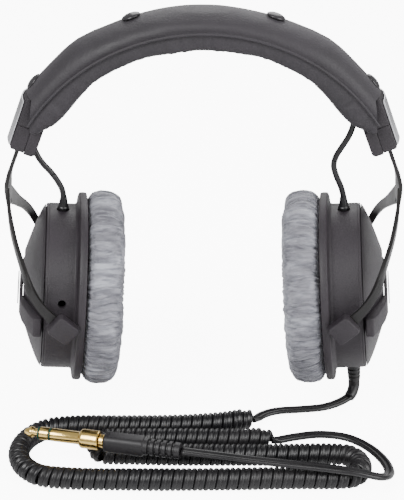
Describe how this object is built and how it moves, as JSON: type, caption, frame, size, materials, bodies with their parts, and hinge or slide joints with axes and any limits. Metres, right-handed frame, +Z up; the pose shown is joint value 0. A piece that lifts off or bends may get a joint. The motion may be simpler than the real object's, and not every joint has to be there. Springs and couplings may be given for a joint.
{
  "type": "radio headphones",
  "caption": "Closed-back over-ear headphones with a padded sprung band, sliding forks, tilting cups, velour pads, a curly cord and a jack adapter.",
  "frame": {"origin": "middle of the headband pad's underside, where it rests on a head", "axes": "+Z up, -Y the front, +X the wearer's left, whose cup has the cord"},
  "size_m": [0.198, 0.1435, 0.2139],
  "materials": {
    "charcoal_plastic": "fine matt texture",
    "black_plastic": "satin",
    "black_gloss": "gloss",
    "painted_steel": "satin dark grey paint",
    "spring_steel": "brushed",
    "silver_plate": "satin silver",
    "leatherette": "soft matt grain",
    "velour": "gathered velour",
    "foam": "open foam",
    "cord_black": "satin",
    "gold": "polished, gold plated",
    "green_insulator": "gloss"
  },
  "bodies": {
    "headband": {"headband_pad": "leatherette", "headband_spring": "spring_steel", "slider_outer_half_l": "charcoal_plastic", "slider_inner_half_l": "charcoal_plastic", "slider_collar_l": "charcoal_plastic", "slider_face_plate_l": "silver_plate", "stud_upper_l": "black_gloss", "stud_lower_l": "black_gloss", "slider_outer_half_r": "charcoal_plastic", "slider_inner_half_r": "charcoal_plastic", "slider_collar_r": "charcoal_plastic", "slider_face_plate_r": "silver_plate", "stud_upper_r": "black_gloss", "stud_lower_r": "black_gloss", "cord_straight": "cord_black", "cord_coil": "cord_black", "cord_tail": "cord_black", "plug_boot": "cord_black", "jack_small": "gold"},
    "fork_l": {"fork_l": "painted_steel", "pivot_cap_front_l": "charcoal_plastic", "pivot_cap_back_l": "charcoal_plastic", "pivot_pin_front_l": "spring_steel", "pivot_pin_back_l": "spring_steel", "lead_l": "cord_black"},
    "fork_r": {"fork_r": "painted_steel", "pivot_cap_front_r": "charcoal_plastic", "pivot_cap_back_r": "charcoal_plastic", "pivot_pin_front_r": "spring_steel", "pivot_pin_back_r": "spring_steel", "lead_r": "cord_black"},
    "cup_l": {"cup_shell_l": "charcoal_plastic", "outer_cover_l": "charcoal_plastic", "cross_bar_l": "charcoal_plastic", "badge_l": "silver_plate", "baffle_l": "black_plastic", "driver_l": "black_plastic", "driver_foam_l": "foam", "rear_felt_l": "foam", "ear_pad_l": "velour", "lead_relief_l": "cord_black", "cord_relief": "cord_black"},
    "cup_r": {"cup_shell_r": "charcoal_plastic", "outer_cover_r": "charcoal_plastic", "cross_bar_r": "charcoal_plastic", "badge_r": "silver_plate", "baffle_r": "black_plastic", "driver_r": "black_plastic", "driver_foam_r": "foam", "rear_felt_r": "foam", "ear_pad_r": "velour", "lead_relief_r": "cord_black"},
    "adapter": {"adapter_sleeve": "gold", "adapter_insulator_rear": "green_insulator", "adapter_ring": "gold", "adapter_insulator_front": "green_insulator", "adapter_tip": "gold"}
  },
  "joints": [
    {"name": "fork_slide_l", "type": "slide", "parent": "headband", "child": "fork_l", "axis": [0.3584, 0, -0.9336], "range_m": [-0.012, 0.01], "deforming": ["lead_l", "cord_straight"]},
    {"name": "cup_tilt_l", "type": "hinge", "parent": "fork_l", "child": "cup_l", "pos_m": [0.0725, 0, -0.1282], "axis": [0.1132, 0.9936, 0], "range_deg": [-8, 8], "deforming": ["lead_l", "cord_straight"]},
    {"name": "fork_slide_r", "type": "slide", "parent": "headband", "child": "fork_r", "axis": [-0.3584, 0, -0.9336], "range_m": [-0.012, 0.01], "deforming": ["lead_r"]},
    {"name": "cup_tilt_r", "type": "hinge", "parent": "fork_r", "child": "cup_r", "pos_m": [-0.0725, 0, -0.1282], "axis": [0.1132, -0.9936, 0], "range_deg": [-8, 8], "deforming": ["lead_r"]},
    {"name": "adapter_pull", "type": "slide", "parent": "headband", "child": "adapter", "axis": [-0.9751, 0.2215, 0], "range_m": [0, 0.02]}
  ]
}
